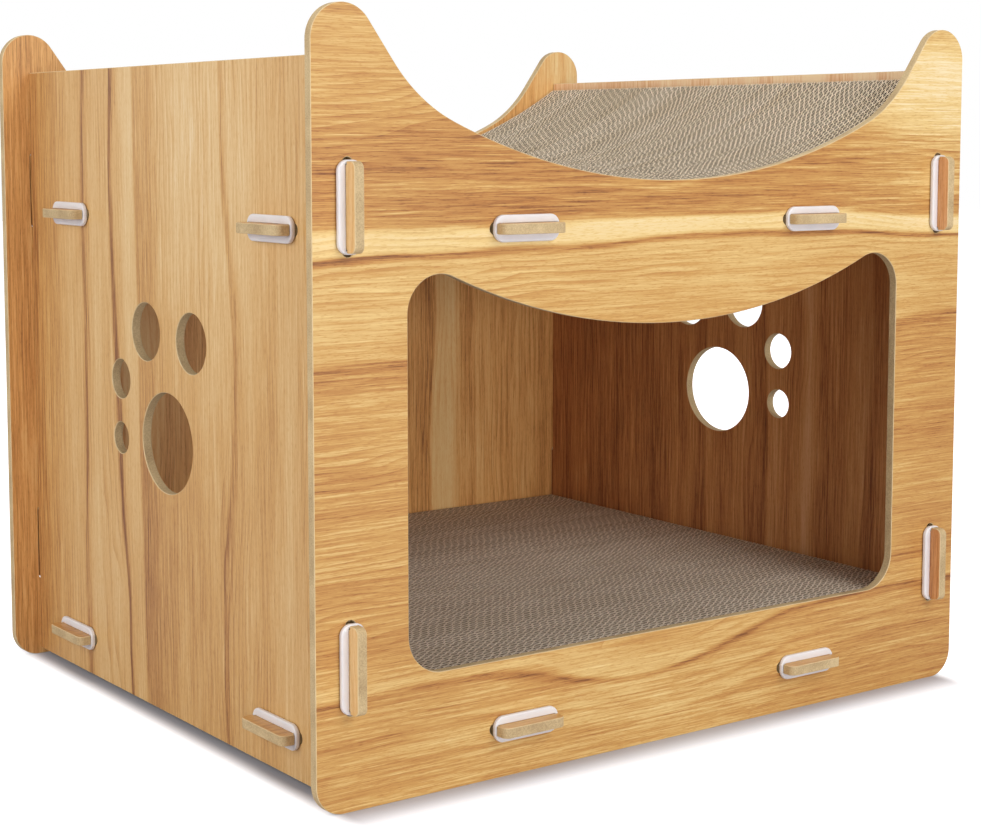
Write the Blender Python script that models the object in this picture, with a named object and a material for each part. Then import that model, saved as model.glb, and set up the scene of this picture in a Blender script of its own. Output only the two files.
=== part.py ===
"""Cat scratcher house.

A flat-pack cabin of thin laminated board. Tabs on the side panels, the floor and the upper shelf go through
slots in their neighbours, and an oval silicone ring is stretched over each tab into its notches. A flat
cardboard scratcher covers the cabin floor and a hollowed one lies between the ears.

Metres, +Z up. The house stands on Z = 0, centred on X = Y = 0, with its door towards -Y.
"""
import math

import bmesh
import bpy
from mathutils import Matrix, Vector

# Overall sizes
HOUSE_WIDTH = 0.420          # across the front and back panels
HOUSE_DEPTH = 0.350          # between the outer faces of the front and back panels
BOARD = 0.005                # thickness of every board
SIDE_INSET = 0.016           # from the front panel's edge in to a side panel's outer face

# Heights, stacked up from the ground
SIDE_LIFT = 0.0034           # ground to the side panels' lower edges
FLOOR_LIFT = 0.0217          # ground to the floor panel's underside
FLOOR_SCRATCHER = 0.028      # thickness of the flat scratcher
CABIN_HEIGHT = 0.2336        # floor panel's top to the upper shelf's underside
LOUNGE_THIN = 0.018          # cardboard left under the lowest point of the hollow
LOUNGE_HOLLOW = 0.054        # depth of the hollow
SIDE_LIP = 0.0045            # side panels' upper edges above the lounge scratcher's ends
EAR_RISE = 0.0219            # ears' tips above the side panels' upper edges

# Front and back panels
SCOOP_LIP = 0.0005           # scoop's lowest point above the lounge scratcher's
SCOOP_RADIUS = 0.333         # long curve between the ears
EAR_SWEEP_RADIUS = 0.081     # tighter curve from the scoop up to an ear
EAR_FLANK_ANGLE = math.radians(54.0)
EAR_TIP_RADIUS = 0.0165
FOOT_CORNER_RADIUS = 0.0145

# Door opening
DOOR_MARGIN = 0.050          # panel's edge to the opening's side
DOOR_STEP = 0.0023           # sill above the flat scratcher
DOOR_DROP = 0.0174           # upper shelf's underside down to the opening's two peaks
DOOR_TOP_RADIUS = 0.335      # drooping curve along the top
DOOR_PEAK_RADIUS = 0.018
DOOR_SILL_RADIUS = 0.019

# Tabs, slots and lock rings
LONG_TAB = 0.0405            # upright tabs of the side panels, and the shelves' side tabs
SHORT_TAB = 0.0365           # the shelves' front and back tabs
TAB_REACH = 0.010            # beyond the outer face of the board that it goes through
TAB_CORNER_RADIUS = 0.0035
NOTCH_DEPTH = 0.0015         # at each end of a tab, for the ring
RING_THICKNESS = 0.0025
RING_SIDE_BAND = 0.0036      # band along a tab's faces
RING_END_BAND = 0.0019       # stretched thin round a tab's ends
RING_BOW = 0.0006            # the long bands stand off the tab in the middle
RING_CORNER_RADIUS = 0.0052
UPPER_TAB_RISE = 0.0116      # upper upright tabs above the shelf's middle plane
LOWER_TAB_RISE = 0.0425      # lower upright tabs above the floor panel's middle plane
FRONT_TAB_SETBACK = 0.0947   # shelf's corner to the middle of a front or back tab
SIDE_TAB_SETBACK = 0.0565    # shelf's corner to the middle of a side tab

# Paw of five holes in each side panel: offset from the panel's middle towards its small toes,
# height above the ground, width and height of the oval
PAW_HOLES = {
    "pad": (0.0000, 0.1472, 0.0570, 0.0528),
    "long_toe": (0.0230, 0.2036, 0.0330, 0.0308),
    "front_toe": (-0.0280, 0.2015, 0.0330, 0.0312),
    "upper_small_toe": (0.0538, 0.1758, 0.0224, 0.0214),
    "lower_small_toe": (0.0545, 0.1437, 0.0180, 0.0172),
}

# Open rows of flutes in the scratchers' upper faces, which run across the house between two of the cardboard's
# flat sheets. Real rows lie a strip apart; these are the main ones
FLUTE_ROW_SPACING = 0.024
FLUTE_ROW_WIDTH = 0.0029
FLUTE_ROW_DEPTH = 0.004

# Clearances
SEAT_GAP = 0.0003            # between faces that rest against each other
SLOT_CLEARANCE = 0.0004      # round a tab in its slot
RING_CLEARANCE = 0.0003      # between a ring and the neck of its tab
SCRATCHER_CLEARANCE = 0.0015 # between a scratcher and the panels round it

# Facets
LONG_ARC_PIECES = 20
CORNER_PIECES = 6
OVAL_PIECES = 28
BOW_PIECES = 8
ROUND_ENOUGH = math.radians(32.0)   # an edge that turns less than this is shaded smooth
ROUND_END_SHARE = 0.999             # of a slot's half width, so that its two end arcs don't meet in one point

# Worked out from the sizes above
FLOOR_TOP = FLOOR_LIFT + BOARD
FLOOR_SCRATCHER_BASE = FLOOR_TOP + SEAT_GAP
SHELF_UNDERSIDE = FLOOR_TOP + CABIN_HEIGHT
LOUNGE_BASE = SHELF_UNDERSIDE + BOARD + SEAT_GAP
LOUNGE_LOW = LOUNGE_BASE + LOUNGE_THIN
SIDE_TOP = LOUNGE_LOW + LOUNGE_HOLLOW + SIDE_LIP
HOUSE_HEIGHT = SIDE_TOP + EAR_RISE
SIDE_OUTER = HOUSE_WIDTH / 2 - SIDE_INSET
SIDE_INNER = SIDE_OUTER - BOARD
FRONT_INNER = HOUSE_DEPTH / 2 - BOARD
FLOOR_MIDDLE = FLOOR_LIFT + BOARD / 2
SHELF_MIDDLE = SHELF_UNDERSIDE + BOARD / 2
UPPER_TAB_HEIGHT = SHELF_MIDDLE + UPPER_TAB_RISE
LOWER_TAB_HEIGHT = FLOOR_MIDDLE + LOWER_TAB_RISE
SHELF_HALF_WIDTH = SIDE_INNER - SEAT_GAP
SHELF_HALF_DEPTH = FRONT_INNER - SEAT_GAP
FRONT_TAB_OFFSET = SHELF_HALF_WIDTH - FRONT_TAB_SETBACK
SIDE_TAB_OFFSET = SHELF_HALF_DEPTH - SIDE_TAB_SETBACK
UPRIGHT_SLOT_OFFSET = SIDE_OUTER - BOARD / 2


def clear_scene():
    """Start from an empty scene."""
    for item in list(bpy.data.objects):
        bpy.data.objects.remove(item, do_unlink=True)


def make_material(name, colour, roughness):
    """A plain material with the piece's overall colour."""
    material = bpy.data.materials.new(name)
    material.use_nodes = True
    shader = material.node_tree.nodes["Principled BSDF"]
    shader.inputs["Base Color"].default_value = (*colour, 1.0)
    shader.inputs["Roughness"].default_value = roughness
    shader.inputs["Metallic"].default_value = 0.0
    return material


def arc(centre, radius, start, end, pieces):
    """Points along an arc from one angle to the other, both ends included."""
    angles = [start + (end - start) * k / pieces for k in range(pieces + 1)]
    return [(centre[0] + radius * math.cos(a), centre[1] + radius * math.sin(a)) for a in angles]


def mirrored_loop(right_half):
    """Close a half outline, given from its bottom to its top at X >= 0, with its mirror image."""
    left_half = [(-x, y) for x, y in reversed(right_half) if x > 1e-7]
    return right_half + left_half


def panel_outline():
    """Front and back panels: rounded feet, two ears and the scoop between them."""
    half = HOUSE_WIDTH / 2
    foot = (half - FOOT_CORNER_RADIUS, FOOT_CORNER_RADIUS)
    tip = Vector((half - EAR_TIP_RADIUS, HOUSE_HEIGHT - EAR_TIP_RADIUS))
    scoop_centre = Vector((0.0, LOUNGE_LOW + SCOOP_LIP + SCOOP_RADIUS))

    # The flank is a straight line down from the tip's arc. The sweep touches it and the scoop's arc, so its
    # centre lies on a line beside the flank, at the difference of the two radii from the scoop's centre.
    flank_normal = Vector((-math.sin(EAR_FLANK_ANGLE), math.cos(EAR_FLANK_ANGLE)))
    flank_down = Vector((-math.cos(EAR_FLANK_ANGLE), -math.sin(EAR_FLANK_ANGLE)))
    start = tip + flank_normal * (EAR_TIP_RADIUS + EAR_SWEEP_RADIUS) - scoop_centre
    along = start.dot(flank_down)
    reach = (SCOOP_RADIUS - EAR_SWEEP_RADIUS) ** 2 - start.length_squared
    sweep_centre = scoop_centre + start + flank_down * (math.sqrt(along ** 2 + reach) - along)
    meeting = sweep_centre - scoop_centre
    meeting_angle = math.atan2(meeting.y, meeting.x)

    quarter = math.pi / 2
    right_half = [(0.0, 0.0)]
    right_half += arc(foot, FOOT_CORNER_RADIUS, -quarter, 0.0, CORNER_PIECES)
    right_half += arc(tip, EAR_TIP_RADIUS, 0.0, quarter + EAR_FLANK_ANGLE, 2 * CORNER_PIECES)
    right_half += arc(sweep_centre, EAR_SWEEP_RADIUS, EAR_FLANK_ANGLE - quarter, meeting_angle, CORNER_PIECES)
    right_half += arc(scoop_centre, SCOOP_RADIUS, meeting_angle, -quarter, LONG_ARC_PIECES)[1:]
    return mirrored_loop(right_half)


def door_outline():
    """Door opening: level sill, upright sides and a top edge that droops between two rounded peaks."""
    half = HOUSE_WIDTH / 2 - DOOR_MARGIN
    sill = FLOOR_SCRATCHER_BASE + FLOOR_SCRATCHER + DOOR_STEP
    peak = (half - DOOR_PEAK_RADIUS, SHELF_UNDERSIDE - DOOR_DROP - DOOR_PEAK_RADIUS)
    rise = math.sqrt((DOOR_TOP_RADIUS + DOOR_PEAK_RADIUS) ** 2 - peak[0] ** 2)
    top_centre = (0.0, peak[1] + rise)
    lean = math.atan2(rise, -peak[0])

    quarter = math.pi / 2
    right_half = [(0.0, sill)]
    right_half += arc((half - DOOR_SILL_RADIUS, sill + DOOR_SILL_RADIUS), DOOR_SILL_RADIUS,
                      -quarter, 0.0, CORNER_PIECES)
    right_half += arc(peak, DOOR_PEAK_RADIUS, 0.0, lean, CORNER_PIECES)
    right_half += arc(top_centre, DOOR_TOP_RADIUS, lean - math.pi, -quarter, LONG_ARC_PIECES)[1:]
    return mirrored_loop(right_half)


def oval(centre, width, height):
    """Oval hole."""
    turns = [2 * math.pi * k / OVAL_PIECES for k in range(OVAL_PIECES)]
    return [(centre[0] + width / 2 * math.cos(a), centre[1] + height / 2 * math.sin(a)) for a in turns]


def rounded_bar(centre, length, width, radius, upright=False):
    """Bar with rounded corners, lying level or standing upright."""
    half_length, half_width = length / 2 - radius, width / 2 - radius
    quarter = math.pi / 2
    corners = ((half_length, -half_width), (half_length, half_width),
               (-half_length, half_width), (-half_length, -half_width))
    points = []
    for k, corner in enumerate(corners):
        points += arc(corner, radius, (k - 1) * quarter, k * quarter, CORNER_PIECES)
    if upright:
        points = [(-y, x) for x, y in points]
    return [(centre[0] + x, centre[1] + y) for x, y in points]


def slot(centre, tab_length, upright=False):
    """Round-ended slot, just long enough for the square corners of its tab to pass between its round ends."""
    half_width = BOARD / 2 + SLOT_CLEARANCE
    corner_room = math.sqrt((half_width - SLOT_CLEARANCE / 2) ** 2 - (BOARD / 2) ** 2)
    length = tab_length + 2 * (half_width - corner_room)
    return rounded_bar(centre, length, 2 * half_width, half_width * ROUND_END_SHARE, upright)


def tab(centre, length):
    """Tab on an edge that runs along X at Y = 0, standing towards -Y, listed from left to right."""
    face = SEAT_GAP + BOARD
    head = face + RING_THICKNESS + 2 * SEAT_GAP
    end = face + TAB_REACH
    half = length / 2
    neck = half - NOTCH_DEPTH
    tip = (half - TAB_CORNER_RADIUS, TAB_CORNER_RADIUS - end)
    right_half = arc(tip, TAB_CORNER_RADIUS, -math.pi / 2, 0.0, CORNER_PIECES)
    right_half += [(half, -head), (neck, -head), (neck, -face), (half, -face), (half, 0.0)]
    left_half = [(-x, y) for x, y in reversed(right_half)]
    return [(centre + x, y) for x, y in left_half + right_half]


def tabbed_outline(half_width, half_height, tabs_on_sides, tabs_on_ends):
    """Rectangle about the origin with tabs on its edges.

    tabs_on_ends lists (middle, length) for the bottom and the top edge, tabs_on_sides for the left and the
    right edge, with each middle measured along +X or +Y.
    """
    points = []
    edges = (
        (half_width, half_height, tabs_on_ends, 1.0),
        (half_height, half_width, tabs_on_sides, 1.0),
        (half_width, half_height, tabs_on_ends, -1.0),
        (half_height, half_width, tabs_on_sides, -1.0),
    )
    for quarter_turns, (half_length, distance, tabs, direction) in enumerate(edges):
        edge = [(-half_length, 0.0)]
        for middle, length in sorted((direction * middle, length) for middle, length in tabs):
            edge += tab(middle, length)
        turn = Matrix.Rotation(quarter_turns * math.pi / 2, 2)
        for x, y in edge:
            turned = turn @ Vector((x, y - distance))
            points.append((turned.x, turned.y))
    return points


def finish_mesh(bm, name):
    """Close a bmesh into a mesh with outward faces, smooth round its curves and sharp at its edges."""
    bmesh.ops.recalc_face_normals(bm, faces=bm.faces)
    mesh = bpy.data.meshes.new(name)
    bm.to_mesh(mesh)
    bm.free()
    mesh.shade_smooth()
    mesh.set_sharp_from_angle(angle=ROUND_ENOUGH)
    return mesh


def cut_from_sheet(name, outline, holes, thickness):
    """Sheet lying on Z = 0: fill the outline round its holes and extrude it to its thickness."""
    bm = bmesh.new()
    edges = []
    for loop in [outline, *holes]:
        corners = [bm.verts.new((x, y, 0.0)) for x, y in loop]
        edges += [bm.edges.new(pair) for pair in zip(corners, corners[1:] + corners[:1])]
    filled = bmesh.ops.triangle_fill(bm, edges=edges, use_beauty=True, normal=(0.0, 0.0, 1.0))
    faces = [item for item in filled["geom"] if isinstance(item, bmesh.types.BMFace)]
    raised = bmesh.ops.extrude_face_region(bm, geom=faces)
    outer = [item for item in raised["geom"] if isinstance(item, bmesh.types.BMVert)]
    bmesh.ops.translate(bm, vec=(0.0, 0.0, thickness), verts=outer)
    return finish_mesh(bm, name)


def place(name, mesh, material, location, rotation=(0.0, 0.0, 0.0)):
    """Put a mesh into the house as a named piece."""
    piece = bpy.data.objects.new(name, mesh)
    if not mesh.materials:
        mesh.materials.append(material)
    piece.location = location
    piece.rotation_euler = rotation
    bpy.context.collection.objects.link(piece)
    return piece


def panel_slots():
    """The front and back panels' eight slots: four upright by the corners, four level for the shelves."""
    cuts = []
    for side in (-1, 1):
        for height in (LOWER_TAB_HEIGHT, UPPER_TAB_HEIGHT):
            cuts.append(slot((side * UPRIGHT_SLOT_OFFSET, height), LONG_TAB, upright=True))
        for height in (FLOOR_MIDDLE, SHELF_MIDDLE):
            cuts.append(slot((side * FRONT_TAB_OFFSET, height), SHORT_TAB))
    return cuts


def make_front_and_back(material):
    """Front panel with the door, and the plain back panel, each turned so that it thickens outward."""
    quarter = math.pi / 2
    front = cut_from_sheet("front_panel", panel_outline(), [door_outline(), *panel_slots()], BOARD)
    place("front_panel", front, material["front"], (0.0, -FRONT_INNER, 0.0), (quarter, 0.0, 0.0))
    back = cut_from_sheet("back_panel", panel_outline(), panel_slots(), BOARD)
    place("back_panel", back, material["back"], (0.0, FRONT_INNER, 0.0), (quarter, 0.0, math.pi))


def make_sides(material):
    """Two side panels from one shape, turned half a turn round the house's middle."""
    middle = (SIDE_TOP + SIDE_LIFT) / 2
    upright_tabs = [(LOWER_TAB_HEIGHT - middle, LONG_TAB), (UPPER_TAB_HEIGHT - middle, LONG_TAB)]
    outline = tabbed_outline(SHELF_HALF_DEPTH, (SIDE_TOP - SIDE_LIFT) / 2, upright_tabs, [])
    cuts = []
    for offset in (-SIDE_TAB_OFFSET, SIDE_TAB_OFFSET):
        for height in (FLOOR_MIDDLE, SHELF_MIDDLE):
            cuts.append(slot((offset, height - middle), LONG_TAB))
    for offset, height, width, tall in PAW_HOLES.values():
        cuts.append(oval((offset, height - middle), width, tall))
    mesh = cut_from_sheet("side_panel", outline, cuts, BOARD)
    quarter = math.pi / 2
    place("left_side_panel", mesh, material["side"], (-SIDE_OUTER, 0.0, middle), (quarter, 0.0, quarter))
    place("right_side_panel", mesh, material["side"], (SIDE_OUTER, 0.0, middle), (quarter, 0.0, -quarter))


def make_shelves(material):
    """Floor panel and upper shelf: the same board with two tabs on every edge."""
    front_tabs = [(-FRONT_TAB_OFFSET, SHORT_TAB), (FRONT_TAB_OFFSET, SHORT_TAB)]
    side_tabs = [(-SIDE_TAB_OFFSET, LONG_TAB), (SIDE_TAB_OFFSET, LONG_TAB)]
    outline = tabbed_outline(SHELF_HALF_WIDTH, SHELF_HALF_DEPTH, side_tabs, front_tabs)
    mesh = cut_from_sheet("shelf", outline, [], BOARD)
    place("floor_panel", mesh, material["shelf"], (0.0, 0.0, FLOOR_LIFT))
    place("upper_shelf", mesh, material["shelf"], (0.0, 0.0, SHELF_UNDERSIDE))


def flute_stations(half_depth):
    """Places along Y where a scratcher's upper face starts, steps down, steps up and ends, with its drop there."""
    rows = round(2 * half_depth / FLUTE_ROW_SPACING)
    spacing = 2 * half_depth / rows
    stations = [(-half_depth, 0.0)]
    for k in range(rows):
        middle = (k + 0.5) * spacing - half_depth
        near, far = middle - FLUTE_ROW_WIDTH / 2, middle + FLUTE_ROW_WIDTH / 2
        stations += [(near, 0.0), (near, FLUTE_ROW_DEPTH), (far, FLUTE_ROW_DEPTH), (far, 0.0)]
    return stations + [(half_depth, 0.0)]


def cardboard_block(name, upper_edge, half_depth):
    """Block standing on Z = 0: upper_edge is its front view's upper edge as (x, z), and flute rows run along X."""
    bm = bmesh.new()
    lines = []
    for y, drop in flute_stations(half_depth):
        lines.append([bm.verts.new((x, y, z - drop)) for x, z in upper_edge])
    for near, far in zip(lines, lines[1:]):
        for k in range(len(upper_edge) - 1):
            bm.faces.new((near[k], near[k + 1], far[k + 1], far[k]))
    ends = (upper_edge[0][0], upper_edge[-1][0])
    feet = [[bm.verts.new((x, y, 0.0)) for x in ends] for y in (-half_depth, half_depth)]
    bm.faces.new((feet[0][0], feet[0][1], feet[1][1], feet[1][0]))
    for line, foot in ((lines[0], feet[0]), (lines[-1], feet[1])):
        bm.faces.new([*foot, *reversed(line)])
    for side in (0, -1):
        bm.faces.new([feet[0][side], *(line[side] for line in lines), feet[1][side]])
    return finish_mesh(bm, name)


def make_scratchers(material):
    """Flat scratcher on the floor panel, and the hollowed one that fills the shelf between the ears."""
    half_width = SIDE_INNER - SCRATCHER_CLEARANCE
    half_depth = FRONT_INNER - SCRATCHER_CLEARANCE

    level = [(-half_width, FLOOR_SCRATCHER), (half_width, FLOOR_SCRATCHER)]
    flat_mesh = cardboard_block("floor_scratcher", level, half_depth)
    place("floor_scratcher", flat_mesh, material["scratcher"], (0.0, 0.0, FLOOR_SCRATCHER_BASE))

    hollow_radius = (half_width ** 2 + LOUNGE_HOLLOW ** 2) / (2 * LOUNGE_HOLLOW)
    spread = math.asin(half_width / hollow_radius)
    quarter = math.pi / 2
    hollow = arc((0.0, LOUNGE_THIN + hollow_radius), hollow_radius,
                 -spread - quarter, spread - quarter, LONG_ARC_PIECES)
    lounge_mesh = cardboard_block("lounge_scratcher", hollow, half_depth)
    place("lounge_scratcher", lounge_mesh, material["lounge"], (0.0, 0.0, LOUNGE_BASE))


def lock_ring(name, tab_length):
    """Silicone ring lying on Z = 0 along X: oval outside, its long bands bowed off the tab in the middle."""
    half_length = tab_length / 2 - NOTCH_DEPTH + RING_CLEARANCE
    half_width = BOARD / 2 + RING_CLEARANCE
    outer = rounded_bar((0.0, 0.0), 2 * (half_length + RING_END_BAND), 2 * (half_width + RING_SIDE_BAND),
                        RING_CORNER_RADIUS)
    shares = [1.0 - 2.0 * k / BOW_PIECES for k in range(BOW_PIECES + 1)]
    upper = [(share * half_length, half_width + RING_BOW * (1.0 - share ** 2)) for share in shares]
    opening = upper + [(-x, -y) for x, y in upper]
    return cut_from_sheet(name, outer, [opening], RING_THICKNESS)


def place_ring(name, mesh, material, facing, centre, upright):
    """Lay a ring against a panel's outer face: facing is the panel's turn about Z from the front."""
    lie_along = Matrix.Rotation(math.pi / 2 if upright else 0.0, 4, "Z")
    stand_up = Matrix.Rotation(math.pi / 2, 4, "X")
    face_out = Matrix.Rotation(facing, 4, "Z")
    rotation = (face_out @ stand_up @ lie_along).to_euler()
    place(name, mesh, material, centre, rotation)


def make_lock_rings(material):
    """One ring round the neck of every tab: eight on the front, eight on the back, four on each side."""
    long_ring = lock_ring("long_lock_ring", LONG_TAB)
    short_ring = lock_ring("short_lock_ring", SHORT_TAB)
    rubber = material["ring"]
    shelves = (("floor", FLOOR_MIDDLE), ("shelf", SHELF_MIDDLE))
    uprights = (("lower", LOWER_TAB_HEIGHT), ("upper", UPPER_TAB_HEIGHT))
    ends = (("front", -1), ("back", 1))
    sides = (("left", -1), ("right", 1))
    for end, y_sign in ends:
        y = y_sign * (HOUSE_DEPTH / 2 + SEAT_GAP)
        facing = 0.0 if end == "front" else math.pi
        for side, x_sign in sides:
            for level, z in uprights:
                place_ring(f"{end}_panel_ring_{side}_{level}_upright", long_ring, rubber, facing,
                           (x_sign * UPRIGHT_SLOT_OFFSET, y, z), upright=True)
            for level, z in shelves:
                place_ring(f"{end}_panel_ring_{side}_{level}", short_ring, rubber, facing,
                           (x_sign * FRONT_TAB_OFFSET, y, z), upright=False)
    for side, x_sign in sides:
        x = x_sign * (SIDE_OUTER + SEAT_GAP)
        for end, y_sign in ends:
            for level, z in shelves:
                place_ring(f"{side}_side_ring_{end}_{level}", long_ring, rubber, x_sign * math.pi / 2,
                           (x, y_sign * SIDE_TAB_OFFSET, z), upright=False)


def main():
    """Build the house."""
    clear_scene()
    material = {
        "front": make_material("front_laminate", (0.62, 0.36, 0.13), 0.45),
        "back": make_material("back_laminate", (0.50, 0.27, 0.10), 0.45),
        "side": make_material("side_laminate", (0.56, 0.33, 0.14), 0.45),
        "shelf": make_material("shelf_laminate", (0.55, 0.32, 0.13), 0.45),
        "scratcher": make_material("flat_cardboard", (0.36, 0.28, 0.21), 0.90),
        "lounge": make_material("lounge_cardboard", (0.38, 0.30, 0.23), 0.90),
        "ring": make_material("silicone", (0.80, 0.77, 0.77), 0.40),
    }
    make_front_and_back(material)
    make_sides(material)
    make_shelves(material)
    make_scratchers(material)
    make_lock_rings(material)


main()
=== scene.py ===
# %% [markdown]
# # A flat-pack cat house, dressed for its portrait
#
# The house is six boards of printed wood-grain laminate on fibreboard. Tabs on the boards go through slots
# in their neighbours, and a white silicone ring is stretched over each tab. Two blocks of corrugated
# cardboard, set on edge so that their flutes stand open, are what the cat scratches and lies on.
#
# The construction is already modelled and packed. This lesson loads it as a fixed frame and gives it its
# looks: finer edges, wood grain, moulded rings and real flutes of paper.

# %% Load the frame
import math

import bmesh
import bpy
from mathutils import Matrix, Vector


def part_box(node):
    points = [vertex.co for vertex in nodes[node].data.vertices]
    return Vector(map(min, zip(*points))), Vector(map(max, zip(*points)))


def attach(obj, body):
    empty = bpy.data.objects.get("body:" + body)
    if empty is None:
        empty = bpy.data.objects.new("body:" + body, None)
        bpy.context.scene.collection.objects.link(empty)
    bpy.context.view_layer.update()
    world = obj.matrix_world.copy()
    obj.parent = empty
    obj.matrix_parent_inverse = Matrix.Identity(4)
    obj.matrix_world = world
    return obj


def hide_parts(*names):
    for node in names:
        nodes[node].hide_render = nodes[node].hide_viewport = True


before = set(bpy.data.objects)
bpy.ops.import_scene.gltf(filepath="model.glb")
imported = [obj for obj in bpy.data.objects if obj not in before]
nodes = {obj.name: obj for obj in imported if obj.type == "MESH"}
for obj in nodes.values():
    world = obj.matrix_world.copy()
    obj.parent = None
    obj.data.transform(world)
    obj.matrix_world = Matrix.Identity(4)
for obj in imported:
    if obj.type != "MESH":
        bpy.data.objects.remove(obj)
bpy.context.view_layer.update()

scene = bpy.context.scene

# %% [markdown]
# ## Small helpers
#
# Sizes are metres, so a pattern that is measured in millimetres is multiplied by MM. Colours are picked as
# sRGB hex values, which is how a colour picker shows them, but a shader works in linear light. One function
# turns the one into the other.
#
# A node tree is a lot of typing if every node is made by hand. Two helpers save that: one fills a node's
# inputs with plain values or with links, and one adds a node of any kind with its options and its inputs.

# %% Units, colours and nodes
MM = 0.001


def linear(hex_colour):
    """The linear RGBA of an sRGB hex colour."""
    channels = [int(hex_colour[k:k + 2], 16) / 255 for k in (1, 3, 5)]
    return [c / 12.92 if c <= 0.04045 else ((c + 0.055) / 1.055) ** 2.4 for c in channels] + [1.0]


def feed(tree, node, inputs):
    """Fills inputs by name or number from values, outputs, or nodes, which stand for their first output."""
    for socket, value in inputs.items():
        if isinstance(value, bpy.types.Node):
            value = value.outputs[0]
        if isinstance(value, bpy.types.NodeSocket):
            tree.links.new(value, node.inputs[socket])
        else:
            node.inputs[socket].default_value = value


def add_node(tree, kind, inputs=None, **options):
    """A new node of that kind, with its options set and its inputs fed."""
    node = tree.nodes.new(kind)
    for option, value in options.items():
        setattr(node, option, value)
    feed(tree, node, inputs or {})
    return node


def new_material(name):
    """A material with its node tree, its Principled shader, and the Object coordinates for its patterns."""
    material = bpy.data.materials.new(name)
    material.use_nodes = True
    tree = material.node_tree
    place = add_node(tree, "ShaderNodeTexCoord").outputs["Object"]
    return material, tree, tree.nodes["Principled BSDF"], place


def new_object(name, data):
    """An object with that data, in the scene."""
    item = bpy.data.objects.new(name, data)
    scene.collection.objects.link(item)
    return item


print("Honey oak in linear light:", [round(c, 3) for c in linear("#DDB070")])

# %% [markdown]
# ## The camera
#
# The portrait was taken with a longish lens from the left, a little above the house's middle. A product
# picture keeps its upright edges nearly parallel, which a camera does by shifting its lens instead of
# tilting down. A small shift does part of that here.

# %% Camera
IMAGE_WIDTH = 981
LENS_PIXELS = 1968.7         # focal length, in pixels of the picture
SHIFT_PIXELS = -90           # the picture's middle lies this far below the lens axis
CAMERA_PLACE = (-0.6491, -0.9161, 0.3047)
CAMERA_TURN = 0.6255         # to the right of straight ahead, in radians
CAMERA_TILT = -0.0964        # downward

camera_data = bpy.data.cameras.new("portrait_camera")
camera_data.sensor_width = 36.0
camera_data.lens = LENS_PIXELS / IMAGE_WIDTH * camera_data.sensor_width
camera_data.shift_y = SHIFT_PIXELS / IMAGE_WIDTH
camera_data.clip_start = 0.05
camera = new_object("portrait_camera", camera_data)
forward = Vector((math.sin(CAMERA_TURN) * math.cos(CAMERA_TILT),
                  math.cos(CAMERA_TURN) * math.cos(CAMERA_TILT), math.sin(CAMERA_TILT)))
camera.location = CAMERA_PLACE
camera.rotation_euler = forward.to_track_quat("-Z", "Y").to_euler()
scene.camera = camera
print("Lens:", round(camera_data.lens, 1), "mm")

# %% [markdown]
# ## The studio
#
# Five soft panels light the house. One stands low in front, so that it reaches through the door to the back
# wall, and one high in front, so that it falls on the lower scratcher. One stands to the left, for the side
# with the paw. One hangs above, for the upper scratcher, and a weak one behind keeps the back from going
# dark. A dim white room fills the shadows.
#
# The background has to be pure white without burning out the wood, so the room and the floor add their white
# only for rays that come straight from the camera or by way of a reflection. The floor's white fades out
# within a few centimetres of the house: held back there, it paints a shadow band round the footprint, in
# which the paper shows its rendered contact shadow.

# %% Room
ROOM_LIGHT = 0.28

scene.view_settings.view_transform = "Standard"
world = bpy.data.worlds.new("white_room")
scene.world = world
world.use_nodes = True
room = world.node_tree
room.nodes.clear()
rays = add_node(room, "ShaderNodeLightPath")
seen = add_node(room, "ShaderNodeMath", {
    0: rays.outputs["Is Camera Ray"], 1: rays.outputs["Is Glossy Ray"]}, operation="MAXIMUM")
seen = add_node(room, "ShaderNodeMath", {
    0: seen, 1: rays.outputs["Is Transmission Ray"]}, operation="MAXIMUM")
strength = add_node(room, "ShaderNodeMapRange", {"Value": seen, "To Min": ROOM_LIGHT, "To Max": 1.0})
glow = add_node(room, "ShaderNodeBackground", {"Color": linear("#FFFFFF"), "Strength": strength})
add_node(room, "ShaderNodeOutputWorld", {"Surface": glow})
print("Light of the room:", ROOM_LIGHT)

# %% Floor
# Matt paper, which keeps a soft contact shadow. Away from the house it glows for the camera. Near the house
# the glow is held back, which paints a shadow band round the walls' footprint
FLOOR_HALF = 6.0                 # metres
FOOTPRINT = (0.194, 0.1745)      # half the width and depth that the house's walls cover on the floor
SHADOW_BAND_REACH = (0.014, 0.035)      # how far beyond it the floor takes to turn white

mesh = bpy.data.meshes.new("floor")
corners = [(x * FLOOR_HALF, y * FLOOR_HALF, 0) for x, y in ((-1, -1), (1, -1), (1, 1), (-1, 1))]
mesh.from_pydata(corners, [], [(0, 1, 2, 3)])
floor = new_object("floor", mesh)
material, tree, shader, place = new_material("white_paper_sweep")
tree.nodes.remove(shader)
mirrored = add_node(tree, "ShaderNodeVectorMath", {0: place}, operation="ABSOLUTE")
beyond = add_node(tree, "ShaderNodeVectorMath", {0: mirrored, 1: (*FOOTPRINT, 0.0)}, operation="SUBTRACT")
beyond = add_node(tree, "ShaderNodeVectorMath", {0: beyond, 1: (0.0, 0.0, 0.0)}, operation="MAXIMUM")
beyond = add_node(tree, "ShaderNodeVectorMath", {0: beyond, 1: (*SHADOW_BAND_REACH, 1.0)}, operation="DIVIDE")
away = add_node(tree, "ShaderNodeVectorMath", {0: beyond}, operation="LENGTH").outputs["Value"]
# No glow within that reach of the footprint: a painted shadow band, inside which the rendered shadow shows
fade = add_node(tree, "ShaderNodeMapRange", {"Value": away}, interpolation_type="SMOOTHSTEP")
rays = add_node(tree, "ShaderNodeLightPath")
shown = add_node(tree, "ShaderNodeMath", {0: rays.outputs["Is Camera Ray"], 1: fade}, operation="MULTIPLY")
paper = add_node(tree, "ShaderNodeBsdfDiffuse", {"Color": linear("#BEBDC4")})
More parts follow.
